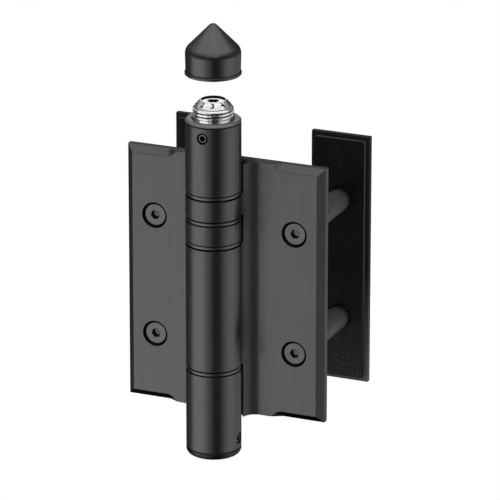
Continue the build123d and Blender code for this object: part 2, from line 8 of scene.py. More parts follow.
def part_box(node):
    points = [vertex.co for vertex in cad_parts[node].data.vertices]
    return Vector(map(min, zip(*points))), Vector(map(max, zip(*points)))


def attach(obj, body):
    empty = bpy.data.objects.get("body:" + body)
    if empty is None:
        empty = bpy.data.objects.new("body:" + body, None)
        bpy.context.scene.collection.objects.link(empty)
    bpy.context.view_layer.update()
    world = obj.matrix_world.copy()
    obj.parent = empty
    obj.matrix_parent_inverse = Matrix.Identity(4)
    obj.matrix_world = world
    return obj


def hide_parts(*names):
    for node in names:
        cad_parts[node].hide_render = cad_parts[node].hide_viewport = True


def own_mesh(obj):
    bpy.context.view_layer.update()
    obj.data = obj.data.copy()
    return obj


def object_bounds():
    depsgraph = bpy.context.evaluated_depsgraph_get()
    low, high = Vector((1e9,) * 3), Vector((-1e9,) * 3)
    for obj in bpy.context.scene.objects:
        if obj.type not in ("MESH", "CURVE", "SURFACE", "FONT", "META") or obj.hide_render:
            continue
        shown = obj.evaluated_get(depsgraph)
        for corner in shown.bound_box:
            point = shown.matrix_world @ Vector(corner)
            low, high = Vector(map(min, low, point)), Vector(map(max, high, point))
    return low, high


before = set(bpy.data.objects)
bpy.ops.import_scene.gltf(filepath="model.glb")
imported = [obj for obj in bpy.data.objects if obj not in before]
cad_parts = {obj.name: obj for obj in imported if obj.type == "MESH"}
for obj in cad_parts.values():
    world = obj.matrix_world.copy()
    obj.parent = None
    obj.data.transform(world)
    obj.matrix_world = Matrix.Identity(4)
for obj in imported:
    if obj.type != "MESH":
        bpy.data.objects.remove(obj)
cad_low, cad_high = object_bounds()
mm = 0.001

# Leaves, each machined from one bar with its knuckles of the barrel. They are steel, brushed upright
# and blackened, with every edge slightly broken. The post leaf carries knuckles 1, 3 and 5.
leaf_black = (0.134, 0.134, 0.136)
leaf_edge_tint = (0.6, 0.6, 0.6)
leaf_streak = 0.05
brush_upright = (0.25 * mm, 0.25 * mm, 16 * mm)
brush_height = 0.2e-6
brush_dullness = 0.02
brush_broadness = 3
broken_edge = 0.40 * mm
# Painted shade in seams and corners: its black, its reach, and the open shares where it starts and ends.
crease_shade_black = (0.006, 0.006, 0.006)
crease_shade_reach = 8.0 * mm
crease_shade_clear = 0.92
crease_shade_fade = 0.42
end_slant = 0.97
edge_slant = 0.5
# Shares of colour kept where shade is painted on the leaves: top ends, undersides, countersinks, lock rings,
# knuckle edges.
end_shade_share = 0.35
underside_shade_share = 0.12
countersink_shade_share = 0.06
lock_ring_shade_share = 0.04
knuckle_edge_shade_share = 0.02
knuckle_radius = 13.25 * mm
hollow_radius = 21.5 * mm
hollow_roughness = 0.55
countersink_radius = 6.42 * mm
lock_hole_radius = 2.8 * mm
lock_sunk = 0.3 * mm
screw_recess = 1.0 * mm
screw_head = 5.35 * mm
up, down = (0, 0, 1), (0, 0, -1)
forward, gateward = (0, -1, 0), (1, 0, 0)
across_barrel = (1, 1, 0)
all_ways = (1, 1, 1)
not_mirrored = (0, 0, 0)


def new_finish(name, colour, metallic, roughness, specular=0.5):
    """Starts a finish and gives back its node tree and its shader."""
    finish = bpy.data.materials.new(name)
    finish.use_nodes = True
    tree = finish.node_tree
    shader = tree.nodes["Principled BSDF"]
    shader.inputs["Base Color"].default_value = (*colour, 1)
    shader.inputs["Metallic"].default_value = metallic
    shader.inputs["Roughness"].default_value = roughness
    shader.inputs["Specular IOR Level"].default_value = specular
    return finish, tree, shader


def grain(tree, size, detail=3.0):
    """Gives noise from 0 to 1 whose grains have the given size along X, Y and Z."""
    place = tree.nodes.new("ShaderNodeTexCoord")
    scale = tree.nodes.new("ShaderNodeVectorMath")
    scale.operation = "DIVIDE"
    scale.inputs[1].default_value = size
    noise = tree.nodes.new("ShaderNodeTexNoise")
    noise.inputs["Scale"].default_value = 1.0
    noise.inputs["Detail"].default_value = detail
    tree.links.new(place.outputs["Object"], scale.inputs[0])
    tree.links.new(scale.outputs[0], noise.inputs["Vector"])
    return noise.outputs["Fac"]


def spread(tree, value, low, high, contrast=0.35):
    """Spreads the middle of a noise value over a range, from low to high."""
    reach = tree.nodes.new("ShaderNodeMapRange")
    reach.inputs["From Min"].default_value = 0.5 - contrast / 2
    reach.inputs["From Max"].default_value = 0.5 + contrast / 2
    reach.inputs["To Min"].default_value = low
    reach.inputs["To Max"].default_value = high
    tree.links.new(value, reach.inputs["Value"])
    return reach.outputs["Result"]


def tint(tree, shader, colour, share, value):
    """Lightens and darkens the shader's colour by a share of it, as the noise value says."""
    mix = tree.nodes.new("ShaderNodeMix")
    mix.data_type = "RGBA"
    mix.inputs[6].default_value = (*[c * (1 - share) for c in colour], 1)
    mix.inputs[7].default_value = (*[c * (1 + share) for c in colour], 1)
    tree.links.new(spread(tree, value, 0, 1), mix.inputs[0])
    tree.links.new(mix.outputs[2], shader.inputs["Base Color"])
    return mix


def relief(tree, shader, value, height, edge=broken_edge):
    """Raises the surface by a height where the noise is high, and rounds its edges in the shading."""
    bump = tree.nodes.new("ShaderNodeBump")
    bump.inputs["Strength"].default_value = 1.0
    bump.inputs["Distance"].default_value = height
    tree.links.new(value, bump.inputs["Height"])
    if edge:
        rounding = tree.nodes.new("ShaderNodeBevel")
        rounding.samples = 6
        rounding.inputs["Radius"].default_value = edge
        tree.links.new(rounding.outputs["Normal"], bump.inputs["Normal"])
    tree.links.new(bump.outputs["Normal"], shader.inputs["Normal"])


def seam(tree, shader, reach=crease_shade_reach, clear=crease_shade_clear):
    """Paints shade into the colour and the sheen in narrow seams and corners, where the surroundings
    close in. Clear is the share of open surroundings above which nothing is darkened."""
    plain = shader.inputs["Base Color"].links[0].from_socket
    crease = tree.nodes.new("ShaderNodeAmbientOcclusion")
    crease.samples = 8
    crease.inputs["Distance"].default_value = reach
    depth = tree.nodes.new("ShaderNodeMapRange")
    depth.inputs["From Min"].default_value = clear - crease_shade_fade
    depth.inputs["From Max"].default_value = clear
    mix = tree.nodes.new("ShaderNodeMix")
    mix.data_type = "RGBA"
    mix.inputs[6].default_value = (*crease_shade_black, 1)
    tree.links.new(crease.outputs["AO"], depth.inputs["Value"])
    tree.links.new(depth.outputs["Result"], mix.inputs[0])
    tree.links.new(plain, mix.inputs[7])
    tree.links.new(mix.outputs[2], shader.inputs["Base Color"])
    sheen = tree.nodes.new("ShaderNodeVectorMath")
    sheen.operation = "SCALE"
    sheen.inputs[0].default_value = shader.inputs["Specular Tint"].default_value[:3]
    tree.links.new(depth.outputs["Result"], sheen.inputs["Scale"])
    tree.links.new(sheen.outputs[0], shader.inputs["Specular Tint"])


def facing(tree, way, slant):
    """Gives 1 where a face looks along a direction, nearer to it than a slant says, and 0 elsewhere."""
    shape = tree.nodes.new("ShaderNodeNewGeometry")
    share = tree.nodes.new("ShaderNodeVectorMath")
    share.operation = "DOT_PRODUCT"
    share.inputs[1].default_value = way
    beyond = tree.nodes.new("ShaderNodeMath")
    beyond.operation = "GREATER_THAN"
    beyond.inputs[1].default_value = slant
    tree.links.new(shape.outputs["Normal"], share.inputs[0])
    tree.links.new(share.outputs["Value"], beyond.inputs[0])
    return beyond.outputs[0]


def near(tree, centre, mirrored, kept, radius):
    """Gives 1 within a radius of a point, measured along the kept axes alone, and 0 elsewhere. The
    point is the centre, or lies off it by the mirrored distances, on each side."""
    place = tree.nodes.new("ShaderNodeTexCoord")
    source = place.outputs["Object"]
    for operation, value in (
        ("SUBTRACT", centre), ("ABSOLUTE", None), ("SUBTRACT", mirrored), ("MULTIPLY", kept), ("LENGTH", None)
    ):
        step = tree.nodes.new("ShaderNodeVectorMath")
        step.operation = operation
        if value is not None:
            step.inputs[1].default_value = value
        tree.links.new(source, step.inputs[0])
        source = step.outputs["Value" if operation == "LENGTH" else "Vector"]
    within = tree.nodes.new("ShaderNodeMath")
    within.operation = "LESS_THAN"
    within.inputs[1].default_value = radius
    tree.links.new(source, within.inputs[0])
    return within.outputs[0]


def darken(tree, shader, where, share):
    """Brings the colour down to a share of itself where a value is 1."""
    plain = shader.inputs["Base Color"].links[0].from_socket
    darker = tree.nodes.new("ShaderNodeVectorMath")
    darker.operation = "SCALE"
    darker.inputs["Scale"].default_value = share
    mix = tree.nodes.new("ShaderNodeMix")
    mix.data_type = "RGBA"
    tree.links.new(plain, darker.inputs[0])
    tree.links.new(where, mix.inputs[0])
    tree.links.new(plain, mix.inputs[6])
    tree.links.new(darker.outputs[0], mix.inputs[7])
    tree.links.new(mix.outputs[2], shader.inputs["Base Color"])


def brushed(name, colour, size, roughness, streak, height=brush_height, edge=broken_edge, metallic=1.0,
            reach=crease_shade_reach, clear=crease_shade_clear):
    """Makes metal with fine brush marks, which are grains of one size in colour, gloss and relief. It
    paints shade into the colour in its seams and corners.
    """
    finish, tree, shader = new_finish(name, colour, metallic, roughness)
    shader.inputs["Specular Tint"].default_value = (*leaf_edge_tint, 1)
    marks = grain(tree, size)
    tint(tree, shader, colour, streak, marks)
    seam(tree, shader, reach, clear)
    broad_marks = grain(tree, [brush_broadness * width for width in size])
    gloss = spread(tree, broad_marks, roughness - brush_dullness, roughness + brush_dullness)
    tree.links.new(gloss, shader.inputs["Roughness"])
    relief(tree, shader, marks, height, edge)
    return finish


def dress(finish, *nodes):
    """Gives CAD nodes their finish."""
    for node in nodes:
        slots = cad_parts[node].data.materials
        slots.clear()
        slots.append(finish)


# The leaves' finish paints shade in their corners, deepest in the hollows beside the barrel.
leaf_finish = brushed("brushed_black_steel", leaf_black, brush_upright, roughness=0.34, streak=leaf_streak)
dress(leaf_finish, "post_leaf", "gate_leaf")

# The leaves' sawn top ends and their undersides are painted darker than their brushed faces, as painted
# shade, and painted shade also darkens the countersinks, the broken edges of the knuckles and the rings
# round the lock screws.
leaf_tree = leaf_finish.node_tree
leaf_shader = leaf_tree.nodes["Principled BSDF"]
post_low, post_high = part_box("post_screws")
gate_low, gate_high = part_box("gate_screws")
barrel_low, barrel_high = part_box("bottom_plug")
leaf_middle = ((post_low.x + gate_high.x) / 2, post_low.y - screw_recess, 0)
screw_places = ((gate_low.x - post_low.x) / 2, 0, post_high.z - screw_head)
barrel_middle = ((barrel_low.x + barrel_high.x) / 2, (barrel_low.y + barrel_high.y) / 2, 0)
darken(leaf_tree, leaf_shader, facing(leaf_tree, up, end_slant), end_shade_share)
darken(leaf_tree, leaf_shader, facing(leaf_tree, down, edge_slant), underside_shade_share)
in_countersink = near(leaf_tree, leaf_middle, screw_places, all_ways, countersink_radius)
darken(leaf_tree, leaf_shader, in_countersink, countersink_shade_share)
knuckle_edge = leaf_tree.nodes.new("ShaderNodeMath")
knuckle_edge.operation = "MULTIPLY"
on_barrel = near(leaf_tree, barrel_middle, not_mirrored, across_barrel, knuckle_radius)
leaf_tree.links.new(on_barrel, knuckle_edge.inputs[0])
leaf_tree.links.new(facing(leaf_tree, up, edge_slant), knuckle_edge.inputs[1])
darken(leaf_tree, leaf_shader, knuckle_edge.outputs[0], knuckle_edge_shade_share)
for node, direction in (("damper_lock_screw", forward), ("spindle_lock_screw", gateward)):
    way = Vector(direction)
    lock_low, lock_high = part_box(node)
    lock_reach = abs((lock_high - lock_low).dot(way)) / 2
    lock_front = (lock_low + lock_high) / 2 + way * (lock_reach + lock_sunk)
    by_lock_screw = near(leaf_tree, lock_front, not_mirrored, all_ways, lock_hole_radius)
    darken(leaf_tree, leaf_shader, by_lock_screw, lock_ring_shade_share)

# The mill has left the hollows beside the barrel duller than the brushed faces.
brush_gloss = leaf_shader.inputs["Roughness"].links[0].from_socket
in_hollow = leaf_tree.nodes.new("ShaderNodeMath")
in_hollow.operation = "SUBTRACT"
hollow_gloss = leaf_tree.nodes.new("ShaderNodeMix")
hollow_gloss.inputs[3].default_value = hollow_roughness
by_hollow = near(leaf_tree, barrel_middle, not_mirrored, across_barrel, hollow_radius)
leaf_tree.links.new(by_hollow, in_hollow.inputs[0])
leaf_tree.links.new(on_barrel, in_hollow.inputs[1])
leaf_tree.links.new(in_hollow.outputs[0], hollow_gloss.inputs[0])
leaf_tree.links.new(brush_gloss, hollow_gloss.inputs[2])
leaf_tree.links.new(hollow_gloss.outputs[0], leaf_shader.inputs["Roughness"])

# The blackened pieces are too dull to be mirrored in one another, so gloss shows the studio alone.
for node in ("post_leaf", "gate_leaf", "top_collar", "cap"):
    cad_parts[node].visible_glossy = False

# Collar on the top of the barrel and plug in its bottom end, both turned from steel and pressed in. Their
# brush marks run round the barrel.
brush_round = (14 * mm, 14 * mm, 0.2 * mm)
turned_height = 0.1e-6
collar_grey = (0.165, 0.165, 0.167)
collar_finish = brushed(
    "turned_grey_steel", collar_grey, brush_round, roughness=0.28, streak=0.04,
    edge=0.25 * mm, metallic=0.4, reach=0.5 * mm
)
dress(collar_finish, "top_collar")
plug_black = (0.055, 0.055, 0.057)
plug_finish = brushed(
    "turned_plug_steel", plug_black, brush_round, roughness=0.32, streak=0.04, height=turned_height
)
dress(plug_finish, "bottom_plug")

# Thrust washers between the knuckles, of hardened steel. They are a little lighter than the barrel,
# with shade painted on their upper and lower edges, where they meet the knuckles.
washer_grey = (0.17, 0.17, 0.172)
washer_edge_shade_share = 0.05
washer_finish = brushed(
    "thrust_washer_steel", washer_grey, brush_round, roughness=0.34, streak=0.05, reach=0.8 * mm, clear=1.0
)
dress(washer_finish, *[f"thrust_washer_{number}" for number in range(1, 5)])
washer_tree = washer_finish.node_tree
washer_shader = washer_tree.nodes["Principled BSDF"]
for way in (up, down):
    darken(washer_tree, washer_shader, facing(washer_tree, way, edge_slant), washer_edge_shade_share)

# Bushes of sintered bronze, pressed in the gate leaf's knuckles. They run on the damper's cylinder and on
# the spindle, and hold oil in their pores.
bronze = (0.60, 0.42, 0.20)
bush_finish = brushed("sintered_bronze", bronze, (0.3 * mm,) * 3, roughness=0.38, streak=0.12)
dress(bush_finish, "upper_bush", "middle_bush", "lower_bush")

# Closing drive inside knuckle 4: spindle, follower and drive pins of ground steel, and a spring of oiled
# wire above the follower. The pins run in the spindle's grooves and lift it as the gate opens.
ground_grey = (0.45, 0.45, 0.46)
ground_finish = brushed("ground_steel", ground_grey, brush_round, roughness=0.22, streak=0.06)
dress(ground_finish, "spindle", "follower", "drive_pins")

spring_grey = (0.30, 0.30, 0.32)
spring_finish = brushed("oiled_spring_steel", spring_grey, (0.5 * mm,) * 3, roughness=0.26, streak=0.10)

# The spring is a copy of its CAD node with a mesh of its own, and moves with the gate side. In the
# hinge the follower squeezes it against knuckle 4's shoulder as it rises.
spring = bpy.data.objects.new("closing_spring_detail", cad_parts["closing_spring"].data.copy())
bpy.context.scene.collection.objects.link(spring)
spring.data.materials.clear()
spring.data.materials.append(spring_finish)
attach(spring, "gate_side")
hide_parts("closing_spring")
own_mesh(spring)

# Oil damper in the upper half of the barrel, fixed in knuckle 1: a honed aluminium cylinder, a bronze
# gland, a ground rod with its piston, the needle valve, and nitrile rubber seals.
honed_grey = (0.62, 0.62, 0.64)
cylinder_finish = brushed("honed_aluminium", honed_grey, brush_round, roughness=0.30, streak=0.06)
dress(cylinder_finish, "damper_cylinder")
dress(bush_finish, "rod_gland")
dress(ground_finish, "piston_rod", "piston", "needle_valve")

nitrile_black = (0.012, 0.012, 0.012)
seal_finish, seal_tree, seal_shader = new_finish(
    "nitrile_rubber", nitrile_black, metallic=0.0, roughness=0.55, specular=0.3
)
smooth_height = 2e-6
relief(seal_tree, seal_shader, grain(seal_tree, (0.1 * mm,) * 3), smooth_height, edge=0)
dress(seal_finish, "rod_seal", "piston_seal", "dial_seal")

# Speed dial, turned from steel and chromed. From the stem in the damper's head it rises through a neck
# and a thread for the cap to a slope, a thin rim and a dished floor with a hex socket.
dial_low, dial_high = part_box("speed_dial")
axis_x, axis_y = (dial_low.x + dial_high.x) / 2, (dial_low.y + dial_high.y) / 2
dial_top = dial_high.z
thread_crest = (dial_high.x - dial_low.x) / 2
thread_depth = 0.60 * mm
thread_pitch = 1.65 * mm
thread_start = radians(250)
thread_flat = 1.2
thread_run_out = 0.35
thread_low = dial_top - 8.3 * mm
thread_high = dial_top - 3.45 * mm
thread_undercut = 0.3 * mm
stem_radius = 5.95 * mm
neck_radius = 8.4 * mm
neck_low = dial_low.z + 15.75 * mm
slope_low_radius = 8.9 * mm
slope_low = dial_top - 3.0 * mm
slope_rise = dial_top - slope_low
slope_foot = 0.25 * mm
slope_foot_round = 0.10 * mm
slope_shares = (0.03, 0.06, 0.15, 0.27, 0.39, 0.51, 0.63, 0.75, 0.86, 0.95, 0.98)
rim_radius = 5.9 * mm
slope_run = slope_low_radius - rim_radius
slope_length = Vector((slope_run, slope_rise)).length
slope_crown = 0.15 * mm
rim_width = 0.15 * mm
rim_round = 0.04 * mm
dish_radius = 5.60 * mm
dish_round = 0.06 * mm
dish_round_height = 0.025 * mm
floor_drop = 0.70 * mm
dish_floor_slack = 0.005 * mm
dial_hex = 5.0 * mm
dial_hex_reach = 0.56
dial_hex_depth = 5.0 * mm
dial_hex_chamfer = 0.25 * mm
dial_hex_chamfer_depth = 0.12 * mm
dial_hex_land = 0.45 * mm
drill_tip = 0.3 * mm
drill_depth = 0.8 * mm
needle_hole = 2.0 * mm
needle_hole_depth = 4.0 * mm
turning_centre = 0.02 * mm
dial_turned = radians(22.5)
chrome_white = (0.90, 0.90, 0.905)
chrome_smooth, chrome_dull = 0.06, 0.16
chrome_change = 0.03
brush_chrome = (9 * mm, 9 * mm, 0.15 * mm)
dial_sides = 144


def hex_reach(across, turned=0):
    """Gives the reach of a hexagon from its centre, at any angle."""
    return lambda angle: across / 2 / cos(((angle - turned) % (pi / 3)) - pi / 6)


def lathe(name, rings, sides, base=Matrix.Identity(4), sharp=32):
    """Turns a closed mesh of rings about Z, from one end to the other, and moves it by a base matrix.
    A ring is a radius and a height, and either may be a function of the angle."""
    points, faces = [], []
    for radius, height in rings:
        for side in range(sides):
            angle = 2 * pi * side / sides
            reach = radius(angle) if callable(radius) else radius
            rise = height(angle) if callable(height) else height
            points.append((reach * cos(angle), reach * sin(angle), rise))
    for ring in range(len(rings) - 1):
        for side in range(sides):
            here, after = ring * sides + side, ring * sides + (side + 1) % sides
            faces.append((here, after, after + sides, here + sides))
    last = (len(rings) - 1) * sides
    faces.append(tuple(reversed(range(sides))))
    faces.append(tuple(range(last, last + sides)))
    mesh = bpy.data.meshes.new(name)
    mesh.from_pydata(points, [], faces)
    mesh.transform(base)
    mesh.shade_smooth()
    mesh.set_sharp_from_angle(angle=radians(sharp))
    piece = bpy.data.objects.new(name, mesh)
    bpy.context.scene.collection.objects.link(piece)
    return piece


def thread_reach(height):
    """Gives the thread's radius at a height, round the dial, with its run-out at both ends."""

    def reach(angle):
        turn = (height - thread_low) / thread_pitch - (angle - thread_start) / (2 * pi)
        crest = min(1, thread_flat - thread_flat * cos(2 * pi * (turn - floor(turn))))
        inside = min(height - thread_low, thread_high - height) / (thread_run_out * thread_pitch)
        return thread_crest - thread_depth * (1 - crest * min(1, max(0, inside)))

    return reach


def slope_ring(share, out=0):
    """Gives the radius and height at a share of the way up the dial's crowned slope, a little off it."""
    out += slope_crown * 4 * share * (1 - share)
    radius = slope_low_radius - slope_run * share + out * slope_rise / slope_length
    height = slope_low + slope_rise * share + out * slope_run / slope_length
    return radius, height


thread_rings = 52
thread_rise = (thread_high - thread_low) / thread_rings
dish_floor = dial_top - floor_drop
socket_floor = dish_floor - dial_hex_depth
dial_rings = [
    (turning_centre, dial_low.z + needle_hole_depth),
    (needle_hole, dial_low.z + needle_hole_depth),
    (needle_hole, dial_low.z),
    (stem_radius, dial_low.z),
    (stem_radius, neck_low),
    (neck_radius, neck_low),
    (neck_radius, thread_low - thread_undercut),
]
for step in range(thread_rings + 1):
    height = thread_low + step * thread_rise
    dial_rings.append((thread_reach(height), height))
dial_rings += [
    (slope_low_radius, slope_low - slope_foot),
    (slope_low_radius, slope_low - slope_foot + slope_foot_round),
    *[slope_ring(share) for share in slope_shares],
    (rim_radius - rim_round, dial_top),
    (rim_radius - rim_width, dial_top),
    (dish_radius + dish_round, dish_floor + dish_round_height),
    (dish_radius - dish_round, dish_floor),
    (dish_radius - 2 * dish_round, dish_floor),
    (hex_reach(dial_hex + dial_hex_land, dial_turned), dish_floor),
    (hex_reach(dial_hex + dial_hex_chamfer, dial_turned), dish_floor),
    (hex_reach(dial_hex, dial_turned), dish_floor - dial_hex_chamfer_depth),
    (hex_reach(dial_hex, dial_turned), socket_floor),
    (drill_tip, socket_floor - drill_depth),
]

chrome, chrome_tree, chrome_shader = new_finish("polished_chrome", chrome_white, metallic=1.0, roughness=0.10)
chrome_marks = grain(chrome_tree, brush_chrome)
chrome_gloss = spread(chrome_tree, chrome_marks, chrome_smooth, chrome_dull)
chrome_tree.links.new(chrome_gloss, chrome_shader.inputs["Roughness"])
tint(chrome_tree, chrome_shader, chrome_white, chrome_change, chrome_marks)
# Painted shade darkens the chrome in its creases.
seam(chrome_tree, chrome_shader, reach=0.7 * mm)
relief(chrome_tree, chrome_shader, chrome_marks, brush_height, edge=0.1 * mm)

# Black painted as the shade inside sockets, recesses and gaps, on the dial, the lock screws and the screws.
socket_shade_black = (0.012, 0.012, 0.012)
socket_shade_finish, socket_tree, socket_shader = new_finish(
    "painted_socket_shade", socket_shade_black, metallic=0.0, roughness=0.5, specular=0.1
)
relief(socket_tree, socket_shader, grain(socket_tree, (0.3 * mm,) * 3), smooth_height, edge=0)

dial_place = Matrix.Translation((axis_x, axis_y, 0))
dial = lathe("speed_dial_detail", dial_rings, dial_sides, dial_place)
dial.data.materials.append(chrome)
dial.data.materials.append(socket_shade_finish)
# The dial's hex socket and the wall round its dished floor take the painted shade.
for face in dial.data.polygons:
    out = Vector((face.center.x - axis_x, face.center.y - axis_y)).length
    below_floor = dish_floor - face.center.z
    in_socket = out < dial_hex * dial_hex_reach and dial_hex_chamfer_depth < below_floor
    in_socket = in_socket and below_floor < dial_hex_depth + 2 * drill_depth
    on_wall = out < rim_radius - rim_width and below_floor < -dish_floor_slack
    face.material_index = int(in_socket or on_wall)
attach(dial, "dial")
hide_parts("speed_dial")

# Numbers 1 to 9 round the dial's slope, rolled in and filled with black enamel. They show how far the
# damper's needle valve is open.
number_height = 2.65 * mm
number_size_share = 0.72
number_boldness = 0.13 * mm
number_foot = 1.25 * mm
number_skin = 0.04 * mm
number_strip = 0.2 * mm
number_step = radians(40)
third_number = radians(21)
enamel_black = (0.008, 0.008, 0.008)

enamel, enamel_tree, enamel_shader = new_finish(
    "black_enamel", enamel_black, metallic=0.0, roughness=0.35, specular=0.3
)
relief(enamel_tree, enamel_shader, grain(enamel_tree, (0.2 * mm,) * 3), smooth_height, edge=0)


def cut_in_strips(mesh, width):
    """Cuts a flat mesh into upright strips, so that it can bend round the dial."""
    work = bmesh.new()
    work.from_mesh(mesh)
    half = round(max(abs(point.co.x) for point in work.verts) / width)
    for step in range(-half, half + 1):
        everything = work.verts[:] + work.edges[:] + work.faces[:]
        bmesh.ops.bisect_plane(work, geom=everything, plane_co=(step * width, 0, 0), plane_no=(1, 0, 0))
    work.to_mesh(mesh)
    work.free()


for number in range(1, 10):
    text = bpy.data.curves.new(f"number_{number}", "FONT")
    text.body = str(number)
    text.align_x = "CENTER"
    text.size = number_height / number_size_share
    text.extrude = number_skin
    text.offset = number_boldness
    text.resolution_u = 6
    source = bpy.data.objects.new(f"number_source_{number}", text)
    mesh = bpy.data.meshes.new_from_object(source)
    bpy.data.objects.remove(source)
    cut_in_strips(mesh, number_strip)
    azimuth = third_number + (number - 3) * number_step
    middle = slope_low_radius - slope_run * (number_foot + number_height / 2) / slope_length
    for vertex in mesh.vertices:
        reach, height = slope_ring((number_foot + vertex.co.y) / slope_length, vertex.co.z)
        angle = azimuth + vertex.co.x / middle
        vertex.co = (axis_x + reach * sin(angle), axis_y - reach * cos(angle), height)
    digit = bpy.data.objects.new(f"dial_number_{number}", mesh)
    bpy.context.scene.collection.objects.link(digit)
    mesh.materials.append(enamel)
    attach(digit, "dial")

# Lock screws in knuckles 1 and 5: hex socket set screws of blackened steel, with a chamfered face
# that lies a little below the barrel's surface.
lock_radius = 2.5 * mm
lock_hex = 2.5 * mm
lock_hex_chamfer = 0.2 * mm
lock_hex_chamfer_depth = 0.1 * mm
lock_hex_depth = 2.0 * mm
lock_drill_tip = 0.1 * mm
lock_drill_depth = 0.5 * mm
lock_face = 1.85 * mm
lock_face_round = 0.05 * mm
lock_face_slack = 0.04 * mm
lock_chamfer = 0.75 * mm
lock_clearance = 0.02 * mm
lock_sides = 72
lock_screw_grey = (0.20, 0.20, 0.202)
lock_finish = brushed(
    "lock_screw_steel", lock_screw_grey, (0.2 * mm,) * 3, roughness=0.34, streak=0.08,
    edge=0.1 * mm, reach=0.1 * mm
)


def along(direction, origin):
    """Gives a matrix that turns Z into a direction and starts at an origin."""
    turn = Vector(direction).to_track_quat("Z", "Y").to_matrix().to_4x4()
    return Matrix.Translation(origin) @ turn


def lock_screw(node, direction):
    """Builds one set screw over its CAD node, facing a direction."""
    low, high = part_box(node)
    middle = (low + high) / 2
    way = Vector(direction)
    length = abs((high - low).dot(way))
    rings = [
        (turning_centre, -length),
        (lock_radius - lock_clearance, -length),
        (lock_radius - lock_clearance, -lock_chamfer),
        (lock_face, -lock_face_round),
        (lock_face - lock_face_round, 0),
        (hex_reach(lock_hex + lock_hex_chamfer), 0),
        (hex_reach(lock_hex), -lock_hex_chamfer_depth),
        (hex_reach(lock_hex), -lock_hex_depth),
        (lock_drill_tip, -lock_hex_depth - lock_drill_depth),
    ]
    front = middle + way * length / 2
    piece = lathe(f"{node}_detail", rings, lock_sides, along(direction, front))
    piece.data.materials.append(lock_finish)
    piece.data.materials.append(socket_shade_finish)
    # Everything below the lock screw's face, its chamfer and its socket, takes the painted shade.
    for face in piece.data.polygons:
        face.material_index = int((front - face.center).dot(way) > lock_face_slack)
    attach(piece, "post_side")
    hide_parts(node)


lock_screw("damper_lock_screw", forward)
lock_screw("spindle_lock_screw", gateward)

# Pointed cap, turned from one bar, brushed round and blackened. It screws on the dial's thread, and is
# shown lifted off.
turned_finish = brushed(
    "turned_black_steel", leaf_black, brush_round, roughness=0.32, streak=0.04, height=turned_height
)
dress(turned_finish, "cap")

# Countersunk screws that hold each leaf to its clamp posts: M6 with a hex socket, of blackened steel,
# sunk a millimetre below the leaf's face. Shade is painted black on the rim of each head and the walls of
# its socket, and light is painted bright on the bottom of each socket.
screw_thread = 3.0 * mm
screw_end_chamfer = 0.4 * mm
head_taper_inset = 0.12 * mm
head_taper_depth = 0.15 * mm
head_edge_inset = 0.08 * mm
head_face_inset = 0.24 * mm
head_face_round = 0.04 * mm
head_shade_ring = 0.2 * mm
screw_hex = 4.0 * mm
screw_hex_reach = 0.65
screw_hex_chamfer = 0.25 * mm
screw_hex_chamfer_depth = 0.15 * mm
screw_hex_depth = 2.4 * mm
screw_face_slack = 0.04 * mm
screw_drill_tip = 0.2 * mm
screw_drill_depth = 0.9 * mm
screw_turn = radians(8)
screw_sides = 96
screw_grey = (0.165, 0.165, 0.167)
socket_floor_light_grey = (0.42, 0.41, 0.40)
socket_floor_light_across = 3.0 * mm
socket_floor_light_step = 0.05 * mm
screw_finish = brushed(
    "socket_screw_steel", screw_grey, (0.25 * mm,) * 3, roughness=0.36, streak=0.07,
    edge=0.1 * mm, reach=0.3 * mm
)
socket_floor_light_finish = brushed(
    "painted_socket_floor_light", socket_floor_light_grey, (0.5 * mm,) * 3, roughness=0.45, streak=0.15,
    edge=0, metallic=0.2, reach=0.1 * mm
)


def socket_screws(side):
    """Builds both screws of one leaf over their CAD node, as one piece."""
    low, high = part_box(f"{side}_screws")
    length = high.y - low.y
    taper = screw_head - screw_thread
    rings = [
        (turning_centre, -length),
        (screw_thread - screw_end_chamfer, -length),
        (screw_thread, -length + screw_end_chamfer),
        (screw_thread, -taper),
        (screw_head - head_taper_inset, -head_taper_depth),
        (screw_head - head_edge_inset, -head_edge_inset),
        (screw_head - head_face_inset, 0),
        (screw_head - head_face_inset - head_face_round, 0),
        (hex_reach(screw_hex + screw_hex_chamfer), 0),
        (hex_reach(screw_hex), -screw_hex_chamfer_depth),
        (hex_reach(screw_hex), -screw_hex_depth),
        (hex_reach(socket_floor_light_across), -screw_hex_depth - socket_floor_light_step),
        (screw_drill_tip, -screw_hex_depth - screw_drill_depth),
    ]
    turn = Matrix.Rotation(screw_turn, 4, "Z")
    screws = []
    for height in (low.z + screw_head, high.z - screw_head):
        centre = Vector(((low.x + high.x) / 2, low.y, height))
        place = along(forward, centre) @ turn
        screws.append(lathe(f"{side}_screws_detail", rings, screw_sides, place))
    pair = screws[0]
    with bpy.context.temp_override(active_object=pair, selected_editable_objects=screws):
        bpy.ops.object.join()
    pair.name = f"{side}_screws_detail"
    for finish in (screw_finish, socket_shade_finish, socket_floor_light_finish):
        pair.data.materials.append(finish)
    # The rim of each head and the walls of its socket take the painted shade, the socket's bottom the painted
    # light.
    for face in pair.data.polygons:
        beside = Vector((face.center.x - centre.x, abs(face.center.z) - abs(centre.z))).length
        below_head = face.center.y - low.y
        in_hex = screw_face_slack < below_head < screw_hex_depth + 2 * screw_drill_depth
        in_hex = in_hex and beside < screw_hex * screw_hex_reach
        if in_hex and below_head > screw_hex_depth + socket_floor_light_step:
            face.material_index = 2
        elif in_hex or beside > screw_head - head_shade_ring:
            face.material_index = 1
    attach(pair, f"{side}_side")
    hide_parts(f"{side}_screws")


for side in ("post", "gate"):
    socket_screws(side)

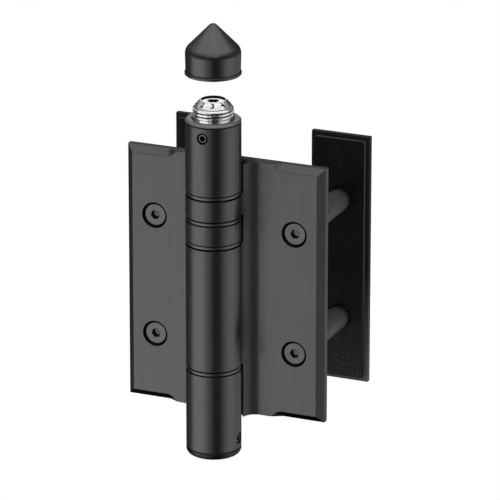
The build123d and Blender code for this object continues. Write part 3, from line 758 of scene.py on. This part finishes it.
# Sleeves behind each leaf and the clamp posts that they meet half way, of blackened steel tube and bar.
# They pass through the gate and its post, and the screws draw them together.
sleeve_black = (0.110, 0.110, 0.112)
brush_sleeve = (6 * mm, 0.3 * mm, 6 * mm)
sleeve_finish = brushed(
    "sleeve_black_steel", sleeve_black, brush_sleeve, roughness=0.42, streak=0.05, metallic=0.45
)
dress(sleeve_finish, "post_sleeves", "gate_sleeves", "post_clamp_posts", "gate_clamp_posts")

# Back plates, sheared from steel strip and powder coated in satin black. The clamp posts are riveted in
# them, and their lower end is painted lighter, as a painted sheen.
powder_black = (0.013, 0.013, 0.013)
plate_low_sheen = (0.08, 0.08, 0.08)
grade_grain = 0.6 * mm
grade_top = -5 * mm
grade_bottom = -64 * mm
powder_change = 0.25
peel_height = 8e-6
powder, powder_tree, powder_shader = new_finish(
    "black_powder_coat", powder_black, metallic=0.0, roughness=0.45, specular=0.06
)
powder_peel = grain(powder_tree, (0.45 * mm,) * 3)
tint(powder_tree, powder_shader, powder_black, powder_change, powder_peel)
relief(powder_tree, powder_shader, powder_peel, peel_height)


def dust(tree, shader, grey, blend="ADD", speckle=0.0):
    """Adds a grey to the colour towards the lower end of a plate or a pad, or mixes it in. Speckle is
    the share by which it varies from grain to grain."""
    plain = shader.inputs["Base Color"].links[0].from_socket
    place = tree.nodes.new("ShaderNodeTexCoord")
    height = tree.nodes.new("ShaderNodeSeparateXYZ")
    lowness = tree.nodes.new("ShaderNodeMapRange")
    lowness.inputs["From Min"].default_value = grade_top
    lowness.inputs["From Max"].default_value = grade_bottom
    grains = spread(tree, grain(tree, (grade_grain,) * 3), 1 - speckle, 1 + speckle)
    amount = tree.nodes.new("ShaderNodeMath")
    amount.operation = "MULTIPLY"
    mix = tree.nodes.new("ShaderNodeMix")
    mix.data_type = "RGBA"
    mix.blend_type = blend
    mix.clamp_factor = False
    mix.inputs[7].default_value = (*grey, 1)
    tree.links.new(place.outputs["Object"], height.inputs[0])
    tree.links.new(height.outputs["Z"], lowness.inputs["Value"])
    tree.links.new(lowness.outputs["Result"], amount.inputs[0])
    tree.links.new(grains, amount.inputs[1])
    tree.links.new(amount.outputs[0], mix.inputs[0])
    tree.links.new(plain, mix.inputs[6])
    tree.links.new(mix.outputs[2], shader.inputs["Base Color"])


# Painted sheen: the plates grow lighter towards their lower end.
dust(powder_tree, powder_shader, plate_low_sheen)
dress(powder, "post_back_plate", "gate_back_plate")

# Rubber pads glued on the back plates, cut from sheet of bonded rubber crumb with pale specks in it.
# Their faces are painted lighter in specks towards the lower end, as a painted sheen, and their cut sides
# are paler than their faces and darker towards the lower end.
rubber_black = (0.0035, 0.0035, 0.0035)
speck_grey = (0.13, 0.13, 0.13)
speck_size = 1.0 * mm
speck_core = 0.12
speck_rim = 0.24
speck_rarity = 0.80
crumb_size = 0.35 * mm
crumb_height = 30e-6
pad_low_sheen = (0.02, 0.02, 0.02)
pad_speckle = 0.9
pad_corner = 1.0 * mm
pad_corner_steps = 6
pad_hole = 5.7 * mm
pad_hole_sides = 48
pad_edge = 0.35 * mm
pad_sharp = radians(40)
cut_grey = (0.06, 0.06, 0.06)
cut_change = 0.15
cut_low_dark = (0.004, 0.004, 0.004)
cut_slant = 0.8
cut_size = 0.3 * mm
cut_height = 40e-6

cut_rubber, cut_tree, cut_shader = new_finish(
    "cut_crumb_rubber", cut_grey, metallic=0.0, roughness=0.7, specular=0.05
)
cut_crumbs = grain(cut_tree, (cut_size,) * 3, detail=5)
tint(cut_tree, cut_shader, cut_grey, cut_change, cut_crumbs)
# The cut sides grow darker towards their lower end.
dust(cut_tree, cut_shader, cut_low_dark, blend="MIX")
relief(cut_tree, cut_shader, cut_crumbs, cut_height, edge=0)

rubber, rubber_tree, rubber_shader = new_finish(
    "crumb_rubber", rubber_black, metallic=0.0, roughness=0.55, specular=0.14
)
crumb_place = rubber_tree.nodes.new("ShaderNodeTexCoord")
crumb_cells = rubber_tree.nodes.new("ShaderNodeTexVoronoi")
crumb_cells.inputs["Scale"].default_value = 1 / speck_size
crumb_speck = rubber_tree.nodes.new("ShaderNodeMapRange")
crumb_speck.inputs["From Min"].default_value = speck_core
crumb_speck.inputs["From Max"].default_value = speck_rim
crumb_speck.inputs["To Min"].default_value = 1.0
crumb_speck.inputs["To Max"].default_value = 0.0
crumb_choice = rubber_tree.nodes.new("ShaderNodeSeparateColor")
crumb_rare = rubber_tree.nodes.new("ShaderNodeMapRange")
crumb_rare.inputs["From Min"].default_value = speck_rarity
crumb_rare.inputs["From Max"].default_value = 1.0
crumb_share = rubber_tree.nodes.new("ShaderNodeMath")
crumb_share.operation = "MULTIPLY"
crumb_colour = rubber_tree.nodes.new("ShaderNodeMix")
crumb_colour.data_type = "RGBA"
crumb_colour.inputs[6].default_value = (*rubber_black, 1)
crumb_colour.inputs[7].default_value = (*speck_grey, 1)
for source, target in (
    (crumb_place.outputs["Object"], crumb_cells.inputs["Vector"]),
    (crumb_cells.outputs["Distance"], crumb_speck.inputs["Value"]),
    (crumb_cells.outputs["Color"], crumb_choice.inputs["Color"]),
    (crumb_choice.outputs["Red"], crumb_rare.inputs["Value"]),
    (crumb_speck.outputs["Result"], crumb_share.inputs[0]),
    (crumb_rare.outputs["Result"], crumb_share.inputs[1]),
    (crumb_share.outputs["Value"], crumb_colour.inputs[0]),
    (crumb_colour.outputs[2], rubber_shader.inputs["Base Color"]),
):
    rubber_tree.links.new(source, target)
# Painted sheen: the pad's face grows lighter, in specks, towards its lower end.
dust(rubber_tree, rubber_shader, pad_low_sheen, speckle=pad_speckle)
relief(rubber_tree, rubber_shader, grain(rubber_tree, (crumb_size,) * 3, detail=5), crumb_height, edge=0)


def ring_spline(curve, points):
    """Adds a closed straight-sided outline to a flat curve."""
    spline = curve.splines.new("POLY")
    spline.points.add(len(points) - 1)
    spline.use_cyclic_u = True
    for place, (x, y) in zip(spline.points, points):
        place.co = (x, y, 0, 1)


def rubber_pad(side):
    """Builds one pad over its CAD node: rounded corners, rolled edges and a hole for each clamp post."""
    low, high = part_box(f"{side}_pad")
    screw_low, screw_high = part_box(f"{side}_screws")
    hole_x = (screw_low.x + screw_high.x) / 2
    curve = bpy.data.curves.new(f"{side}_pad_detail", "CURVE")
    curve.dimensions = "2D"
    curve.fill_mode = "BOTH"
    curve.bevel_depth = pad_edge
    curve.bevel_resolution = 3
    curve.extrude = (high.y - low.y) / 2 - pad_edge
    corners = []
    for x, z, start in (
        (high.x, high.z, 0), (low.x, high.z, 90), (low.x, low.z, 180), (high.x, low.z, 270)
    ):
        centre_x = x + (pad_corner if x == low.x else -pad_corner)
        centre_z = z + (pad_corner if z == low.z else -pad_corner)
        for step in range(pad_corner_steps + 1):
            angle = radians(start + 90 * step / pad_corner_steps)
            reach = pad_corner - pad_edge
            corners.append((centre_x + reach * cos(angle), centre_z + reach * sin(angle)))
    ring_spline(curve, corners)
    for height in (screw_low.z + screw_head, screw_high.z - screw_head):
        hole = []
        for step in range(pad_hole_sides):
            angle = 2 * pi * step / pad_hole_sides
            reach = pad_hole + pad_edge
            hole.append((hole_x + reach * cos(angle), height - reach * sin(angle)))
        ring_spline(curve, hole)
    source = bpy.data.objects.new("pad_source", curve)
    mesh = bpy.data.meshes.new_from_object(source)
    bpy.data.objects.remove(source)
    mesh.transform(Matrix.Translation((0, (low.y + high.y) / 2, 0)) @ Matrix.Rotation(pi / 2, 4, "X"))
    mesh.shade_smooth()
    mesh.set_sharp_from_angle(angle=pad_sharp)
    mesh.materials.clear()
    mesh.materials.append(rubber)
    mesh.materials.append(cut_rubber)
    for face in mesh.polygons:
        face.material_index = int(abs(face.normal.y) < cut_slant)
    pad = bpy.data.objects.new(f"{side}_pad_detail", mesh)
    bpy.context.scene.collection.objects.link(pad)
    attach(pad, f"{side}_side")
    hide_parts(f"{side}_pad")


for side in ("post", "gate"):
    rubber_pad(side)

# Camera, at the photograph's place and angle. It looks from the front right and a little from above,
# through a long lens.
camera_place = Vector((0.850758, -1.881485, 0.736738))
camera_aim = Vector((0.04918, -0.00527, 0.01908))
camera_roll = radians(0.046)
camera_lens = 329.4
camera_data = bpy.data.cameras.new("camera")
camera_data.sensor_width = 36
camera_data.lens = camera_lens
camera_data.clip_start = 0.1
camera_data.clip_end = 50
camera = bpy.data.objects.new("camera", camera_data)
bpy.context.scene.collection.objects.link(camera)
look = (camera_aim - camera_place).to_track_quat("-Z", "Y").to_matrix().to_4x4()
camera.matrix_world = Matrix.Translation(camera_place) @ look @ Matrix.Rotation(camera_roll, 4, "Z")
bpy.context.scene.camera = camera

# White studio: a paper floor well below the part, an even white world, and two soft suns from the front
# left and the front right. The paper is shaded only near the part, and turns plain white further out.
floor_height = -0.40
floor_half = 12.0
paper_pale = (0.92, 0.92, 0.92)
shadow_radius = 0.55
shadow_core = 0.3
world_level = 0.55
sun_spread = radians(30)


def shown_rays(tree):
    """Gives 1 for the rays that see the background: those of the camera, and of gloss and glass."""
    path = tree.nodes.new("ShaderNodeLightPath")
    first = tree.nodes.new("ShaderNodeMath")
    first.operation = "MAXIMUM"
    second = tree.nodes.new("ShaderNodeMath")
    second.operation = "MAXIMUM"
    tree.links.new(path.outputs["Is Camera Ray"], first.inputs[0])
    tree.links.new(path.outputs["Is Glossy Ray"], first.inputs[1])
    tree.links.new(first.outputs[0], second.inputs[0])
    tree.links.new(path.outputs["Is Transmission Ray"], second.inputs[1])
    return second.outputs[0]


world = bpy.data.worlds.new("white_studio")
world.use_nodes = True
world_tree = world.node_tree
background = world_tree.nodes["Background"]
background.inputs["Color"].default_value = (1, 1, 1, 1)
world_strength = world_tree.nodes.new("ShaderNodeMapRange")
world_strength.inputs["To Min"].default_value = world_level
world_strength.inputs["To Max"].default_value = 1.0
world_tree.links.new(shown_rays(world_tree), world_strength.inputs["Value"])
world_tree.links.new(world_strength.outputs["Result"], background.inputs["Strength"])
bpy.context.scene.world = world

floor_mesh = bpy.data.meshes.new("studio_floor")
floor_corners = [
    (side_x * floor_half, side_y * floor_half, floor_height)
    for side_x, side_y in ((-1, -1), (1, -1), (1, 1), (-1, 1))
]
floor_mesh.from_pydata(floor_corners, [], [(0, 1, 2, 3)])
floor_piece = bpy.data.objects.new("studio_floor", floor_mesh)
bpy.context.scene.collection.objects.link(floor_piece)
paper, paper_tree, paper_shader = new_finish(
    "white_paper", paper_pale, metallic=0.0, roughness=0.9, specular=0.0
)
paper_output = paper_tree.nodes["Material Output"]
paper_white = paper_tree.nodes.new("ShaderNodeEmission")
paper_place = paper_tree.nodes.new("ShaderNodeTexCoord")
paper_reach = paper_tree.nodes.new("ShaderNodeVectorMath")
paper_reach.operation = "DISTANCE"
paper_reach.inputs[1].default_value = (axis_x, axis_y, floor_height)
paper_fade = paper_tree.nodes.new("ShaderNodeMapRange")
paper_fade.interpolation_type = "SMOOTHSTEP"
paper_fade.inputs["From Min"].default_value = shadow_core * shadow_radius
paper_fade.inputs["From Max"].default_value = shadow_radius
paper_share = paper_tree.nodes.new("ShaderNodeMath")
paper_share.operation = "MULTIPLY"
paper_mix = paper_tree.nodes.new("ShaderNodeMixShader")
paper_tree.links.new(paper_place.outputs["Object"], paper_reach.inputs[0])
paper_tree.links.new(paper_reach.outputs["Value"], paper_fade.inputs["Value"])
paper_tree.links.new(paper_fade.outputs["Result"], paper_share.inputs[0])
paper_tree.links.new(shown_rays(paper_tree), paper_share.inputs[1])
paper_tree.links.new(paper_share.outputs["Value"], paper_mix.inputs[0])
paper_tree.links.new(paper_shader.outputs["BSDF"], paper_mix.inputs[1])
paper_tree.links.new(paper_white.outputs["Emission"], paper_mix.inputs[2])
paper_tree.links.new(paper_mix.outputs["Shader"], paper_output.inputs["Surface"])
floor_mesh.materials.append(paper)

for name, strength, azimuth, elevation in (("key_sun", 1.1, -40, 50), ("fill_sun", 0.6, 70, 35)):
    sun_data = bpy.data.lights.new(name, "SUN")
    sun_data.energy = strength
    sun_data.angle = sun_spread
    sun = bpy.data.objects.new(name, sun_data)
    back = Vector((
        sin(radians(azimuth)) * cos(radians(elevation)),
        -cos(radians(azimuth)) * cos(radians(elevation)),
        sin(radians(elevation)),
    ))
    sun.rotation_mode = "QUATERNION"
    sun.rotation_quaternion = back.to_track_quat("Z", "Y")
    sun.visible_glossy = False
    bpy.context.scene.collection.objects.link(sun)

# Flags of dark and grey cloth hung round the part, which only gloss sees. Metal reflects the white
# between them, so the barrel shows two soft bright stripes, as it does in the photograph.
view_azimuth = 23.1
flag_step = 5
flag_clear = 0.01
part_centre = (cad_low + cad_high) / 2


def cloth(name, level):
    """Makes a cloth that gives back an even share of the studio's white."""
    finish, _, shader = new_finish(name, (0, 0, 0), metallic=0.0, roughness=1.0, specular=0.0)
    shader.inputs["Emission Color"].default_value = (1, 1, 1, 1)
    shader.inputs["Emission Strength"].default_value = level
    return finish


black_cloth = cloth("black_cloth", 0.04)
dark_cloth = cloth("dark_cloth", 0.14)
slate_cloth = cloth("slate_cloth", 0.25)
grey_cloth = cloth("grey_cloth", 0.45)
pale_cloth = cloth("pale_cloth", 0.72)
bright_cloth = cloth("bright_cloth", 0.84)


def only_gloss_sees(piece):
    """Keeps a flag out of everything but reflections."""
    piece.visible_camera = False
    piece.visible_diffuse = False
    piece.visible_transmission = False
    piece.visible_shadow = False


def flag(name, from_azimuth, to_azimuth, low, high, finish):
    """Hangs a cloth round the part between two azimuths, in degrees from the camera's side, and
    between two edges, each a distance from the part and a height."""
    steps = max(2, round((to_azimuth - from_azimuth) / flag_step))
    points = []
    for step in range(steps + 1):
        azimuth = radians(view_azimuth + from_azimuth + (to_azimuth - from_azimuth) * step / steps)
        for reach, height in (low, high):
            x = part_centre.x + reach * sin(azimuth)
            y = part_centre.y - reach * cos(azimuth)
            points.append((x, y, height))
    faces = [(2 * i, 2 * i + 2, 2 * i + 3, 2 * i + 1) for i in range(steps)]
    mesh = bpy.data.meshes.new(name)
    mesh.from_pydata(points, [], faces)
    mesh.materials.append(finish)
    piece = bpy.data.objects.new(name, mesh)
    bpy.context.scene.collection.objects.link(piece)
    only_gloss_sees(piece)


under = (0.01, floor_height + flag_clear)
foot = (0.20, floor_height + flag_clear)
middle = (0.90, 0.0)
back = (0.90, 0.25)
upper = (0.90, 0.50)
shelf = (0.76, 0.80)
ridge = (0.58, 0.97)
roof = (0.45, 1.10)
top = (0.20, 1.20)
flag("left_scrim", -34, -10, foot, middle, grey_cloth)
flag("front_flag", -10, 26, foot, middle, black_cloth)
flag("front_right_flag", 26, 36, foot, middle, dark_cloth)
flag("front_right_scrim", 36, 52, foot, middle, grey_cloth)
flag("right_scrim", 52, 100, foot, middle, pale_cloth)
flag("far_right_scrim", 100, 122, foot, middle, grey_cloth)
flag("side_scrim", 122, 144, foot, middle, pale_cloth)
flag("back_right_flag", 144, 160, foot, back, dark_cloth)
flag("back_flag", 160, 200, foot, back, black_cloth)
flag("back_left_flag", 200, 266, foot, back, dark_cloth)
flag("upper_flag", -60, 60, middle, upper, black_cloth)
flag("upper_left_flag", -94, -60, middle, upper, dark_cloth)
flag("upper_right_flag", 60, 144, middle, upper, dark_cloth)
flag("high_left_flag", -150, -94, back, upper, dark_cloth)
flag("high_right_flag", 144, 160, back, upper, dark_cloth)
flag("low_roof_left", -150, -30, upper, shelf, grey_cloth)
flag("low_roof_front", -30, 30, upper, shelf, pale_cloth)
flag("low_roof_right", 30, 150, upper, shelf, slate_cloth)
flag("high_roof", -80, 80, shelf, roof, bright_cloth)
flag("high_roof_left", -170, -104, ridge, top, dark_cloth)
flag("high_roof_right", 104, 170, ridge, top, dark_cloth)
flag("ground_flag", 0, 360, under, foot, black_cloth)

bpy.context.scene.view_settings.view_transform = "Standard"
